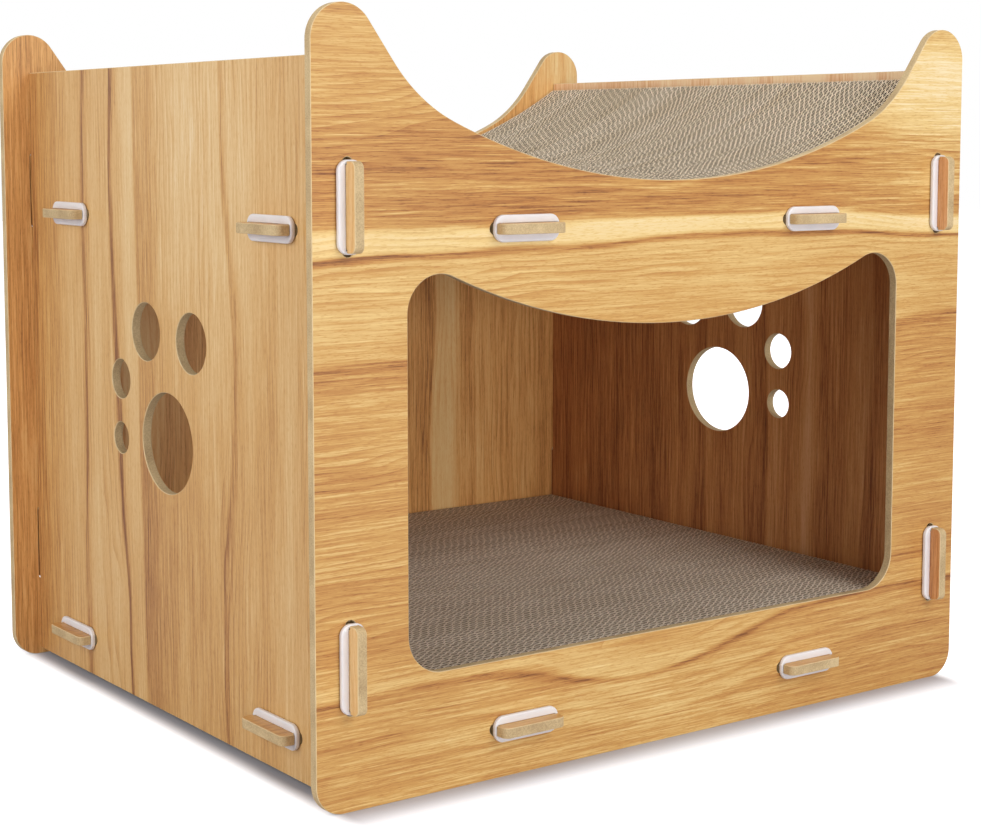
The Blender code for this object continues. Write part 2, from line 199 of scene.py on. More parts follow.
lift = add_node(tree, "ShaderNodeEmission", {"Color": linear("#FFFFFF"), "Strength": shown})
both = add_node(tree, "ShaderNodeAddShader", {0: paper, 1: lift})
feed(tree, tree.nodes["Material Output"], {"Surface": both})
mesh.materials.append(material)
print("Floor:", 2 * FLOOR_HALF, "m wide")

# %% Lamps
HOUSE_MIDDLE = Vector((0.0, 0.0, 0.18))


def soft_panel(name, place, width, height, power):
    """A large rectangular lamp at a place, turned to the house."""
    lamp = bpy.data.lights.new(name, "AREA")
    lamp.shape = "RECTANGLE"
    lamp.size, lamp.size_y, lamp.energy = width, height, power
    stand = new_object(name, lamp)
    stand.location = place
    stand.rotation_euler = (HOUSE_MIDDLE - Vector(place)).to_track_quat("-Z", "Y").to_euler()


soft_panel("low_front_lamp", (-0.30, -1.75, 0.24), 1.2, 0.4, 12.0)
soft_panel("high_front_lamp", (0.35, -1.60, 1.15), 0.9, 0.9, 12.5)
soft_panel("left_lamp", (-1.80, -0.10, 0.80), 0.9, 1.1, 18.0)
soft_panel("top_lamp", (0.10, 0.15, 1.70), 1.4, 1.4, 8.0)
soft_panel("back_lamp", (1.00, 1.50, 0.70), 0.9, 0.9, 9.0)

# %% [markdown]
# ## Reading a board's outline
#
# A packed board is a flat sheet with a few facets on each curve, because the physics has no use for more.
# The outline can be read back from it: the edges round one flat face form closed loops, one for the outside
# and one for each hole. On a curve the facets have equal lengths and turn a little at each point, so the
# circle that they stand for is known, and points can be put back on it.

# %% Outlines
SAME_POINT = 2e-6            # metres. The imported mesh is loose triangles, whose corners are merged
SAME_LEVEL = 1e-5
STRAIGHT_ON = 0.99           # how far a normal of the flat face points along the axis


def face_loops(node_name, axis):
    """The loops round a board's upper face, as points in its plane, and the board's extent along the axis."""
    work = bmesh.new()
    work.from_mesh(nodes[node_name].data)
    bmesh.ops.remove_doubles(work, verts=work.verts, dist=SAME_POINT)
    work.normal_update()
    low, high = (corner[axis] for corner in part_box(node_name))
    plane = [k for k in range(3) if k != axis]
    face = {f for f in work.faces if f.normal[axis] > STRAIGHT_ON
            and abs(f.calc_center_median()[axis] - high) < SAME_LEVEL}
    rim = [e for e in work.edges if sum(f in face for f in e.link_faces) == 1]
    beside = {}
    for edge in rim:
        for here, there in (edge.verts, reversed(edge.verts)):
            beside.setdefault(here, []).append(there)
    loops = []
    while beside:
        start, (nearest, _) = next(iter(beside.items()))
        loop, before, here = [start], start, nearest
        while here is not start:
            loop.append(here)
            first, second = beside[here]
            before, here = here, second if first is before else first
        for vertex in loop:
            del beside[vertex]
        loops.append([Vector((v.co[plane[0]], v.co[plane[1]])) for v in loop])
    work.free()
    return loops, low, high


front_loops, front_low, front_high = face_loops("front_panel", 1)
print("Loops on the front board:", len(front_loops), "points:", sum(map(len, front_loops)))

# %% Finer curves
SMOOTH_TURN = math.radians(25.0)     # two facets that turn more than this meet at a real corner
EQUAL_FACETS = 0.06                  # facets of one curve differ less than this in length
FINE_TURN = math.radians(3.5)        # the most that a finished curve turns at a point


def signed_area(loop):
    """Positive if the loop runs anticlockwise."""
    return sum(a.cross(b) for a, b in zip(loop, loop[1:] + loop[:1])) / 2


def finer(loop):
    """The same loop with extra points on its curves."""
    count = len(loop)
    steps = [loop[(k + 1) % count] - loop[k] for k in range(count)]
    lengths = [step.length for step in steps]
    turns = [math.atan2(steps[k - 1].cross(steps[k]), steps[k - 1].dot(steps[k])) for k in range(count)]
    points = []
    for k in range(count):
        points.append(loop[k])
        after = (k + 1) % count
        bends = [turn for other, turn in ((k - 1, turns[k]), (after, turns[after]))
                 if abs(turn) < SMOOTH_TURN and abs(lengths[other] - lengths[k]) < EQUAL_FACETS * lengths[k]]
        if not bends:
            continue
        bend = sum(bends) / len(bends)
        pieces = math.ceil(abs(bend) / FINE_TURN)
        if pieces < 2:
            continue
        radius = lengths[k] / (2 * math.sin(bend / 2))
        ahead = steps[k] / lengths[k]
        aside = Vector((-ahead.y, ahead.x))
        for piece in range(1, pieces):
            angle = bend * (piece / pieces - 0.5)
            rise = radius * (math.cos(bend / 2) - math.cos(angle))
            points.append(loop[k] + ahead * (lengths[k] / 2 + radius * math.sin(angle)) + aside * rise)
    return points


def material_on_left(loops):
    """Turns the outside anticlockwise and the holes clockwise: the board is on the left of every edge."""
    loops = sorted(loops, key=lambda loop: -abs(signed_area(loop)))
    return [loop if (signed_area(loop) > 0) == (k == 0) else loop[::-1] for k, loop in enumerate(loops)]


print("Points after refining:", sum(len(finer(loop)) for loop in front_loops))

# %% [markdown]
# ## A board with eased edges
#
# A router leaves a crisp edge on a board, and a pass of sandpaper takes off a third of a millimetre. That
# small bevel is what catches the light along every outline. It also shows the laminate's paper as a pale
# line beside the brown core, so a board has four finishes: its two faces, its cut core and the pale line.
#
# The mesh is built in rings of points through the thickness. Insetting a loop moves each point along the
# line that halves its corner.

# %% A sheet with eased edges
CORE, PAPER_LINE, LOW_FACE, HIGH_FACE = range(4)
SHARP_EDGE = math.radians(35.0)      # a line between two faces that turn more than this stays crisp
SPIKE_LIMIT = 0.5                    # keeps a very sharp corner from moving far


def inset(loop, distance):
    """The loop moved to its left, into the material."""
    moved = []
    for before, here, after in zip(loop[-1:] + loop[:-1], loop, loop[1:] + loop[:1]):
        first, second = (here - before).normalized(), (after - here).normalized()
        left_first, left_second = Vector((-first.y, first.x)), Vector((-second.y, second.x))
        corner = left_first + left_second
        moved.append(here + corner * (distance * 2 / max(corner.length_squared, SPIKE_LIMIT)))
    return moved


def solid_sheet(name, loops, low, high, axis, easings, easing_steps=1):
    """A closed mesh from loops in a plane, standing between low and high, with each loop's edges eased."""
    work = bmesh.new()
    caps = ([], [])
    for loop, easing in zip(loops, easings):
        angles = [math.pi / 2 * k / easing_steps for k in range(easing_steps + 1)]
        lower = [(easing * (1 - math.sin(a)), low + easing * (1 - math.cos(a))) for a in angles]
        upper = [(depth, high + low - level) for depth, level in reversed(lower)]
        rows = []
        for depth, level in lower + upper:
            row = []
            for point in inset(loop, depth):
                place = [point.x, point.y]
                place.insert(axis, level)
                row.append(work.verts.new(place))
            rows.append(row)
        for k, (below, above) in enumerate(zip(rows, rows[1:])):
            for a in range(len(loop)):
                b = (a + 1) % len(loop)
                face = work.faces.new((below[a], below[b], above[b], above[a]))
                face.material_index = CORE if k == easing_steps else PAPER_LINE
        for rim, row in zip(caps, (rows[0], rows[-1])):
            rim += [work.edges.get(pair) for pair in zip(row, row[1:] + row[:1])]
    upward = [0.0, 0.0, 0.0]
    upward[axis] = 1.0
    for rim, slot in zip(caps, (LOW_FACE, HIGH_FACE)):
        filled = bmesh.ops.triangle_fill(work, edges=rim, use_beauty=True, normal=upward)
        for item in filled["geom"]:
            if isinstance(item, bmesh.types.BMFace):
                item.material_index = slot
    bmesh.ops.recalc_face_normals(work, faces=work.faces)
    mesh = bpy.data.meshes.new(name)
    work.to_mesh(mesh)
    work.free()
    mesh.shade_smooth()
    mesh.set_sharp_from_angle(angle=SHARP_EDGE)
    return mesh


print("Finishes on a board:", HIGH_FACE + 1)

# %% From a mesh to a board
EDGE_EASING = 0.3 * MM
BOARD_THICKNESS = front_high - front_low


def show_as_piece(name, mesh, body, replaced):
    """Puts a finished mesh into the scene for the frame's nodes that it stands for."""
    piece = new_object(name, mesh)
    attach(piece, body)
    if replaced:
        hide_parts(*replaced)


def make_board(node_name, axis, low_face, high_face):
    """The finished board for one node, with a laminate on each of its two faces."""
    loops, low, high = face_loops(node_name, axis)
    loops = material_on_left([finer(loop) for loop in loops])
    mesh = solid_sheet(node_name + "_board", loops, low, high, axis, [EDGE_EASING] * len(loops))
    for material in (fibreboard_core, laminate_paper, low_face, high_face):
        mesh.materials.append(material)
    show_as_piece(node_name + "_board", mesh, "cabin", [node_name])
    print(node_name, "faces:", len(mesh.polygons))


print("Board thickness:", round(BOARD_THICKNESS / MM, 2), "mm")

# %% [markdown]
# ## Wood-grain laminate
#
# The faces aren't wood. They are melamine film with a photograph of wood printed on it, pressed onto the
# board, with a satin surface that has a faint emboss along the grain. So one smooth gloss covers a pattern
# with several layers.
#
# A plank is a slice through a log's growth rings. Think of a number that grows across the plank, one ring
# after the other: the **ring height**. Where the log has a hump the slice cuts the rings at other places,
# and their lines bend round the hump in the arches and lenses that make a plank look like wood. So the
# material is:
#
# 1. the ring height: the place across the grain, plus a few listed humps, plus a slow sway;
# 2. the print's tone at each ring height, listed for each board, with dark growth lines in it;
# 3. streaks of four sizes, which are noise stretched along the grain, and pores, which are short dark
#    dashes;
# 4. soft patches where a board is paler or browner as a whole, or painted paler where an inner face is lit.
#
# They add up to one number, which a ramp turns into colour. Patterns without listed parts look endless
# and even; it is the few lines that happen only once that the eye takes for a real plank.

# %% Print colours and streaks
# From the palest early wood to the darkest growth line. No two boards are cut from one sheet
SIDE_COLOURS = ("#EFDAB8", "#E2C08A", "#CFA060", "#B07B44", "#7A4824")
FRONT_COLOURS = ("#F4E4C2", "#E6C684", "#CA9A55", "#B2783C", "#784520")
BACK_COLOURS = ("#F2DCAE", "#EAC688", "#DEA662", "#BE8446", "#80502A")
# Redder and darker than the outer prints: painted shade for the house's inner faces
INNER_SHADED_COLOURS = ("#EFCFA4", "#E3B184", "#D09358", "#AD6C3E", "#693A20")
SWAY = 9 * MM                # how far the rings wander to each side
# Streaks: reach along and across the grain in mm, and how strongly they show. The finest are really thinner,
# but would vanish between the picture's pixels
STREAKS = ((170, 9.0, 0.26), (110, 2.4, 0.22), (50, 1.0, 0.50), (20, 0.5, 0.54))
LATE_WOOD_GAP = 4 * MM       # from one fine dark line to the next
LATE_WOOD_SHADE = 0.20
# Pores: reach along and across the grain in mm. Real ones are about 0.1 mm wide and wouldn't show
PORE = (3.5, 0.4)
PORE_SHADE = 0.12


def fill_ramp(node, stops):
    """Gives a colour ramp these (position, colour) stops."""
    elements = node.color_ramp.elements
    while len(elements) < len(stops):
        elements.new(0.5)
    for element, (position, colour) in zip(elements, stops):
        element.position = position
        element.color = colour


def soft_spot(tree, grain, along, across, reach_along, reach_across, height):
    """A smooth hump in the plane of the grain. Places and reaches are in mm."""
    scaled = add_node(tree, "ShaderNodeMapping", {
        "Vector": grain, "Scale": (1 / (reach_along * MM), 1 / (reach_across * MM), 0.0),
        "Location": (-along / reach_along, -across / reach_across, 0.0)})
    away = add_node(tree, "ShaderNodeVectorMath", {0: scaled}, operation="LENGTH").outputs["Value"]
    return add_node(tree, "ShaderNodeMapRange", {
        "Value": away, "To Min": height, "To Max": 0.0}, interpolation_type="SMOOTHSTEP")


print("Sizes of streaks:", len(STREAKS))

# %% The laminate's material
def oak_laminate(name, along, across, tones, humps=(), patches=(), colours=SIDE_COLOURS, seed=0.0):
    """Satin melamine film with printed grain. tones lists (ring height in mm, tone from 0 pale to 1 dark)."""
    material, tree, shader, place = new_material(name)
    through = next(axis for axis in "XYZ" if axis not in (along, across))
    parts = add_node(tree, "ShaderNodeSeparateXYZ", {0: place})
    grain = add_node(tree, "ShaderNodeCombineXYZ", {
        "X": parts.outputs[along], "Y": parts.outputs[across], "Z": parts.outputs[through]})

    def streaks(reach_along, reach_across, **options):
        """Noise stretched along the grain, which differs from board to board by the seed."""
        at = add_node(tree, "ShaderNodeMapping", {
            "Vector": grain, "Scale": (1000 / reach_along, 1000 / reach_across, 20.0),
            "Location": (seed + reach_across, 2 * seed, seed)})
        return add_node(tree, "ShaderNodeTexNoise", {"Vector": at, "Scale": 1.0, **options})

    # Ring height, in metres
    ring = add_node(tree, "ShaderNodeMath", {
        0: streaks(140, 45, Detail=1.5), 1: 2 * SWAY, 2: parts.outputs[across]}, operation="MULTIPLY_ADD")
    for hump in humps:
        ring = add_node(tree, "ShaderNodeMath", {
            0: soft_spot(tree, grain, *hump), 1: MM, 2: ring}, operation="MULTIPLY_ADD")
    first, last = tones[0][0] * MM, tones[-1][0] * MM
    share = add_node(tree, "ShaderNodeMapRange", {
        "Value": ring, "From Min": first + SWAY, "From Max": last + SWAY})
    band = add_node(tree, "ShaderNodeValToRGB", {0: share})
    fill_ramp(band, [((height * MM - first) / (last - first), (tone, tone, tone, 1.0))
                     for height, tone in tones])

    # Streaks, centred on zero. Pale early wood is even, and dark wood is streaky
    sum_of_streaks = 0.0
    for reach_along, reach_across, weight in STREAKS:
        noise = streaks(reach_along, reach_across, Detail=2.0, Roughness=0.6)
        centred = add_node(tree, "ShaderNodeMath", {0: noise, 1: 0.5}, operation="SUBTRACT")
        sum_of_streaks = add_node(tree, "ShaderNodeMath", {
            0: centred, 1: weight, 2: sum_of_streaks}, operation="MULTIPLY_ADD")
    contrast = add_node(tree, "ShaderNodeMapRange", {
        "Value": band, "From Min": 0.2, "From Max": 0.7, "To Min": 0.2, "To Max": 1.6})
    tone = add_node(tree, "ShaderNodeMath", {
        0: sum_of_streaks, 1: contrast, 2: band}, operation="MULTIPLY_ADD")

    # Late wood: fine lines that follow the rings, each dark at one side, and fade in and out
    uneven = add_node(tree, "ShaderNodeMath", {
        0: streaks(60, 14, Detail=1.0), 1: 2 * LATE_WOOD_GAP, 2: ring}, operation="MULTIPLY_ADD")
    count = add_node(tree, "ShaderNodeMath", {0: uneven, 1: 1 / LATE_WOOD_GAP}, operation="MULTIPLY")
    phase = add_node(tree, "ShaderNodeMath", {0: count}, operation="FRACT")
    dark_side = add_node(tree, "ShaderNodeMath", {0: phase, 1: 3.0}, operation="POWER")
    shown = add_node(tree, "ShaderNodeMapRange", {
        "Value": streaks(90, 22, Detail=1.0), "From Min": 0.42, "From Max": 0.62,
        "To Max": LATE_WOOD_SHADE})
    tone = add_node(tree, "ShaderNodeMath", {0: dark_side, 1: shown, 2: tone}, operation="MULTIPLY_ADD")

    # Pores, then the board's paler and browner patches, which on the inner faces are painted light
    pore = streaks(*PORE, Detail=1.0)
    dash = add_node(tree, "ShaderNodeMapRange", {
        "Value": pore, "From Min": 0.54, "From Max": 0.70, "To Max": PORE_SHADE})
    tone = add_node(tree, "ShaderNodeMath", {0: tone, 1: dash}, operation="ADD")
    for patch in patches:
        tone = add_node(tree, "ShaderNodeMath", {0: tone, 1: soft_spot(tree, grain, *patch)}, operation="ADD")

    colour = add_node(tree, "ShaderNodeValToRGB", {0: tone})
    fill_ramp(colour, [(k / (len(colours) - 1), linear(shade)) for k, shade in enumerate(colours)])

    # Melamine film: IOR 1.5 like most clear plastics; satin, with a shallow emboss that follows the pores
    roughness = add_node(tree, "ShaderNodeMapRange", {"Value": pore, "To Min": 0.36, "To Max": 0.50})
    emboss = add_node(tree, "ShaderNodeBump", {"Height": pore, "Distance": 0.05 * MM, "Strength": 0.4})
    feed(tree, shader, {"Base Color": colour, "Roughness": roughness, "Normal": emboss, "IOR": 1.5})
    return material


# %% [markdown]
# In the tables below, a tone is a place across the grain in millimetres and how dark the print is there. A
# hump or a patch is its place along and across the grain, its two reaches, and how far it lifts the rings in
# millimetres, or how much darker it makes the print.

# %% The tones of each print
# Front board, with its grain level. The tones run up from the floor
FRONT_TONES = (
    (0, 0.52), (18, 0.60), (19.5, 0.46), (29, 0.50), (32, 0.66), (33.5, 0.46), (50, 0.54), (53, 0.86),
    (54.5, 0.40), (66, 0.46), (76, 0.60), (77.5, 0.48), (104, 0.52), (118, 0.44), (140, 0.56), (160, 0.48),
    (190, 0.50), (203, 0.72), (205, 0.46), (226, 0.40), (249, 0.36), (252, 0.84), (253.5, 0.22),
    (263, 0.18), (266, 0.56), (272, 0.70), (284, 0.60), (296, 0.70), (306, 0.64), (312, 0.50), (340, 0.42),
    (364, 0.52))
FRONT_HUMPS = (
    (-18, 38, 112, 36, 19), (190, 20, 170, 50, -20), (60, 250, 260, 34, -6), (-200, 150, 90, 60, 9),
    (200, 180, 80, 70, -8), (-120, 330, 120, 50, -7))
FRONT_PATCHES = (
    (195, 330, 150, 78, -0.28), (205, 285, 90, 40, -0.12), (195, 130, 60, 150, 0.08),
    (0, 222, 150, 26, 0.06), (-60, 20, 200, 50, -0.10))
# Left side, with its grain upright, from front to back. A second plank starts at 33 mm
SIDE_TONES = (
    (-172, 0.34), (-150, 0.46), (-128, 0.38), (-108, 0.50), (-84, 0.42), (-66, 0.50), (-61, 0.74),
    (-59, 0.46), (-36, 0.52), (-12, 0.46), (12, 0.54), (32, 0.62), (34, 0.32), (50, 0.34), (60, 0.44),
    (65, 0.98), (67, 0.40), (88, 0.36), (95, 0.48), (99.5, 0.78), (101.5, 0.46), (118, 0.40), (134, 0.54),
    (152, 0.60), (172, 0.72))
SIDE_HUMPS = ((0, 52, 330, 34, 19), (190, -72, 150, 30, 9), (60, -120, 120, 30, -7))
SIDE_PATCHES = ((300, -40, 190, 110, -0.24), (60, 20, 140, 60, 0.10), (170, -165, 200, 16, -0.12))
# Back board, with its grain upright. The tones run from left to right
BACK_TONES = (
    (-212, 0.62), (-190, 0.56), (-160, 0.50), (-141, 0.60), (-140, 0.36), (-126, 0.30), (-110, 0.54),
    (-60, 0.50), (-12, 0.70), (-10, 0.50), (40, 0.50), (74, 0.62), (84, 0.70), (88, 0.66), (89.5, 0.30),
    (104, 0.26), (108, 0.50), (122, 0.64), (123.5, 0.44), (146, 0.56), (160, 0.48), (176, 0.62),
    (212, 0.62))
BACK_PATCHES = ((350, 205, 80, 60, -0.34),)
# The side boards' inner faces, from front to back, darker than the outer faces: painted shade for the house's
# inside
INNER_SHADED_TONES = (
    (-172, 0.60), (-150, 0.46), (-131, 0.70), (-129, 0.44), (-110, 0.58), (-94, 0.70), (-76, 0.34),
    (-62, 0.62), (-44, 0.46), (-42, 0.78), (-24, 0.50), (-6, 0.66), (8, 0.46), (10, 0.74), (26, 0.58),
    (45, 0.68), (47, 0.50), (68, 0.72), (93, 0.62), (95, 0.76), (122, 0.68), (172, 0.66))
# Painted paler where the inner face stands outside in the light: above the upper scratcher, and on the tabs
INNER_LIT_PATCHES = ((345, 0, 30, 900, -0.6), (170, -195, 2000, 18, -0.6))
# Floor and shelf, which are nearly hidden
SHELF_TONES = ((-172, 0.48), (-90, 0.56), (-30, 0.66), (-28, 0.48), (60, 0.50), (120, 0.60), (172, 0.46))
print("Tones on the front print:", len(FRONT_TONES))

# %% The five prints
front_print = oak_laminate("oak_print_laminate_front", "X", "Z", FRONT_TONES, FRONT_HUMPS, FRONT_PATCHES,
                           colours=FRONT_COLOURS)
side_print = oak_laminate("oak_print_laminate_sides", "Z", "Y", SIDE_TONES, SIDE_HUMPS, SIDE_PATCHES,
                          seed=1.7)
back_print = oak_laminate("oak_print_laminate_back", "Z", "X", BACK_TONES, (), BACK_PATCHES,
                          colours=BACK_COLOURS, seed=3.1)
shelf_print = oak_laminate("oak_print_laminate_shelves", "X", "Y", SHELF_TONES, seed=4.6)
shaded_inner_print = oak_laminate("oak_print_laminate_inner_sides_painted_shade", "Z", "Y", INNER_SHADED_TONES, SIDE_HUMPS,
                           INNER_LIT_PATCHES, colours=INNER_SHADED_COLOURS, seed=5.3)
print("Laminates made:", len([m for m in bpy.data.materials if "laminate" in m.name]))

# %% [markdown]
# ## The cut edge
#
# Under the film is medium-density fibreboard: wood fibres and resin, pressed flat. Sawn, it is a dull tan
# felt with fine darker flecks and no grain. The film's paper shows as a cream line where the edge is eased.

# %% Fibreboard and paper line
fibreboard_core, tree, shader, place = new_material("fibreboard_core")
flecks = add_node(tree, "ShaderNodeTexNoise", {"Vector": place, "Scale": 1 / (0.7 * MM), "Detail": 3.0})
patches = add_node(tree, "ShaderNodeTexNoise", {"Vector": place, "Scale": 1 / (16 * MM), "Detail": 2.0})
both_sizes = add_node(tree, "ShaderNodeMath", {0: flecks, 1: patches}, operation="ADD")
amount = add_node(tree, "ShaderNodeMapRange", {"Value": both_sizes, "From Min": 0.7, "From Max": 1.3})
colour = add_node(tree, "ShaderNodeMix", {
    "Factor": amount, "A": linear("#D2B98C"), "B": linear("#AB9068")}, data_type="RGBA").outputs["Result"]
felt = add_node(tree, "ShaderNodeBump", {"Height": flecks, "Distance": 0.12 * MM, "Strength": 0.6})
feed(tree, shader, {"Base Color": colour, "Normal": felt, "Roughness": 0.85})

# The film's paper, sanded through: bare and matt, a little browner where more of it is gone
laminate_paper, tree, shader, place = new_material("laminate_paper_line")
wear = add_node(tree, "ShaderNodeTexNoise", {"Vector": place, "Scale": 1 / (6 * MM), "Detail": 3.0})
colour = add_node(tree, "ShaderNodeMix", {
    "Factor": wear, "A": linear("#E6D3A8"), "B": linear("#BE9A66")}, data_type="RGBA").outputs["Result"]
feed(tree, shader, {"Base Color": colour, "Roughness": 0.6})
print("Materials of the cut:", fibreboard_core.name, laminate_paper.name)

# %% The six boards
make_board("front_panel", 1, front_print, back_print)
make_board("back_panel", 1, back_print, back_print)
make_board("left_side_panel", 0, side_print, shaded_inner_print)
make_board("right_side_panel", 0, shaded_inner_print, side_print)
make_board("floor_panel", 2, shelf_print, shelf_print)
make_board("upper_shelf", 2, shelf_print, shelf_print)

# %% [markdown]
# ## Silicone rings
#
# Each ring is moulded from white silicone: soft, slightly clear, with rounded edges. Light goes into it and
# comes out a millimetre or two away, so its thin ends glow. That is subsurface scattering with a short
# radius.
#
# All 24 rings are one of two shapes, so two meshes are made and a small Geometry Nodes tree copies them. It
# reads one point for each ring, with the ring's turn and its kind stored on the point, and ends by making
# the copies real and giving them their material.

# %% Silicone
silicone, tree, shader, place = new_material("white_silicone")
haze = add_node(tree, "ShaderNodeTexNoise", {"Vector": place, "Scale": 1 / (9 * MM), "Detail": 2.0})
colour = add_node(tree, "ShaderNodeMix", {
    "Factor": haze, "A": linear("#E9E6E6"), "B": linear("#D9D5D6")}, data_type="RGBA").outputs["Result"]
# Silicone rubber: IOR 1.41, a soft satin, scattering about 1.5 mm deep
feed(tree, shader, {"Base Color": colour, "IOR": 1.41, "Roughness": 0.38, "Subsurface Weight": 0.35,
                    "Subsurface Radius": (1.0, 0.9, 0.9), "Subsurface Scale": 1.5 * MM})
print("Nodes:", len(tree.nodes))

# %% Ring shapes and places
OUTER_EASING = 0.8 * MM
INNER_EASING = 0.3 * MM
TAB_GAP = 0.1 * MM           # between the stretched ring and its tab
RING_STEPS = 4               # pieces of the round of an edge
ring_nodes = sorted(name for name in nodes if "_ring_" in name)


def ring_frame(name):
    """A ring's middle, the ways that it faces and that its length runs, its length and its thickness."""
    low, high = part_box(name)
    middle, size = (low + high) / 2, high - low
    thin = min(range(3), key=lambda k: size[k])
    long = max(range(3), key=lambda k: size[k])
    facing, length_way = Vector((0, 0, 0)), Vector((0, 0, 0))
    facing[thin] = math.copysign(1.0, middle[thin])
    length_way[long] = 1.0
    return middle, facing, length_way, size[long], size[thin]


def ring_shape(name):
    """One ring's mesh, lying flat about the origin with its length along X."""
    middle, facing, length_way, _, thickness = ring_frame(name)
    axis = next(k for k in range(3) if facing[k])
    long = next(k for k in range(3) if length_way[k])
    plane = [k for k in range(3) if k != axis]
    loops, _, _ = face_loops(name, axis)
    flat = []
    for loop in loops:
        centred = [Vector((p[0] - middle[plane[0]], p[1] - middle[plane[1]])) for p in loop]
        flat.append([p if plane[0] == long else Vector((p.y, p.x)) for p in centred])
    outer, opening = material_on_left([finer(loop) for loop in flat])
    snug = BOARD_THICKNESS / 2 + TAB_GAP
    opening = [Vector((p.x, max(-snug, min(snug, p.y)))) for p in opening]
    mesh = solid_sheet("ring_shape", [outer, opening], -thickness / 2, thickness / 2, 2,
                       [OUTER_EASING, INNER_EASING], easing_steps=RING_STEPS)
    shape = bpy.data.objects.new("ring_shape", mesh)
    shape.hide_render = True
    return shape


lengths = {name: round(ring_frame(name)[3] / MM, 1) for name in ring_nodes}
longest, shortest = max(ring_nodes, key=lengths.get), min(ring_nodes, key=lengths.get)
long_ring, short_ring = ring_shape(longest), ring_shape(shortest)
print("Ring lengths in mm:", sorted(set(lengths.values())))

# %% A tree that puts a ring on each tab
def add_sockets(tree, way, sockets):
    """Gives a tree its named inputs or outputs, each with its type."""
    for label, kind in sockets.items():
        tree.interface.new_socket(label, in_out=way, socket_type="NodeSocket" + kind)


ring_tree = tree = bpy.data.node_groups.new("rings_on_tabs", "GeometryNodeTree")
add_sockets(tree, "INPUT", {
    "Tabs": "Geometry", "Long ring": "Object", "Short ring": "Object", "Silicone": "Material"})
add_sockets(tree, "OUTPUT", {"Rings": "Geometry"})
given = add_node(tree, "NodeGroupInput").outputs
turn = add_node(tree, "GeometryNodeInputNamedAttribute", {"Name": "turn"}, data_type="FLOAT_VECTOR")
rotation = add_node(tree, "FunctionNodeEulerToRotation", {0: turn})
is_short = add_node(tree, "GeometryNodeInputNamedAttribute", {"Name": "short"}, data_type="BOOLEAN")
is_long = add_node(tree, "FunctionNodeBooleanMath", {0: is_short}, operation="NOT")
joined = add_node(tree, "GeometryNodeJoinGeometry")
for label, chosen in (("Long ring", is_long), ("Short ring", is_short)):
    shape = add_node(tree, "GeometryNodeObjectInfo", {"Object": given[label]}).outputs["Geometry"]
    copies = add_node(tree, "GeometryNodeInstanceOnPoints", {
        "Points": given["Tabs"], "Selection": chosen, "Instance": shape, "Rotation": rotation})
    feed(tree, joined, {0: copies})
real = add_node(tree, "GeometryNodeRealizeInstances", {0: joined})
coated = add_node(tree, "GeometryNodeSetMaterial", {"Geometry": real, "Material": given["Silicone"]})
add_node(tree, "NodeGroupOutput", {0: coated})
print("Nodes:", len(tree.nodes))

# %% Run the tree
def made_by_nodes(name, mesh, tree, values):
    """Runs a Geometry Nodes tree on a mesh and returns the result as a plain mesh."""
    holder = new_object(name, mesh)
    modifier = holder.modifiers.new(name, "NODES")
    modifier.node_group = tree
    sockets = {item.name: item.identifier for item in tree.interface.items_tree if item.in_out == "INPUT"}
    for label, value in values.items():
        modifier[sockets[label]] = value
    bpy.context.view_layer.update()
    evaluated = holder.evaluated_get(bpy.context.evaluated_depsgraph_get())
    result = bpy.data.meshes.new_from_object(evaluated)
    result.name = name
    bpy.data.objects.remove(holder)
    return result


tabs = bpy.data.meshes.new("tab_points")
tabs.from_pydata([ring_frame(name)[0] for name in ring_nodes], [], [])
turns = tabs.attributes.new("turn", "FLOAT_VECTOR", "POINT")
shorts = tabs.attributes.new("short", "BOOLEAN", "POINT")
for k, name in enumerate(ring_nodes):
    _, facing, length_way, length, _ = ring_frame(name)
    side_way = facing.cross(length_way)
    matrix = Matrix((length_way, side_way, facing)).transposed()
    turns.data[k].vector = matrix.to_euler()
    shorts.data[k].value = lengths[name] < lengths[longest] - 1.0
rings = made_by_nodes("lock_rings", tabs, ring_tree,
                      {"Long ring": long_ring, "Short ring": short_ring, "Silicone": silicone})
rings.shade_smooth()
show_as_piece("lock_rings", rings, "cabin", ring_nodes)
for shape in (long_ring, short_ring):
    bpy.data.objects.remove(shape)
print("Ring faces:", len(rings.polygons))

# %% [markdown]
# ## Corrugated cardboard
#
# A scratcher is hundreds of strips of corrugated board, glued side by side with their flutes upright. From
# above it is a comb of small holes: flat liner sheets with a wavy sheet between each two. A picture of
# holes would look flat at a low angle, and a cat's claws would find no depth, so every sheet of paper is
# modelled.
#
# The tree below makes rows of paper. It lays a thin ribbon for each row, bends it into a wave whose start
# is random from row to row, and pulls it up to the pad's upper surface, which is level or hollowed in an
# arc. The same tree with a flat wave makes the liners.

# %% Kraft paper
# Palest and deepest colours
PAPER_INSIDE = ("#B09675", "#947958")
PAPER_CUT = ("#FAE7CC", "#D6BE9B")
# For the lower scratcher, the same paper's cut edge painted paler, as painted light in the house's shade
PAPER_CUT_PAINTED_PALER = ("#FAEEDD", "#D8C7B0")
# The colour of the painted shade in the flutes, and how nearly it reaches that colour at a flute's bottom
FLUTE_SHADE_COLOUR = "#19120C"
FLUTE_SHADE_MOST = 0.96        # how nearly a flute reaches that at its bottom
block_low, block_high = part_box("lounge_scratcher")
INSIDE = (block_high - block_low) / 2 - Vector((0.2, 0.2, 0.0)) * MM


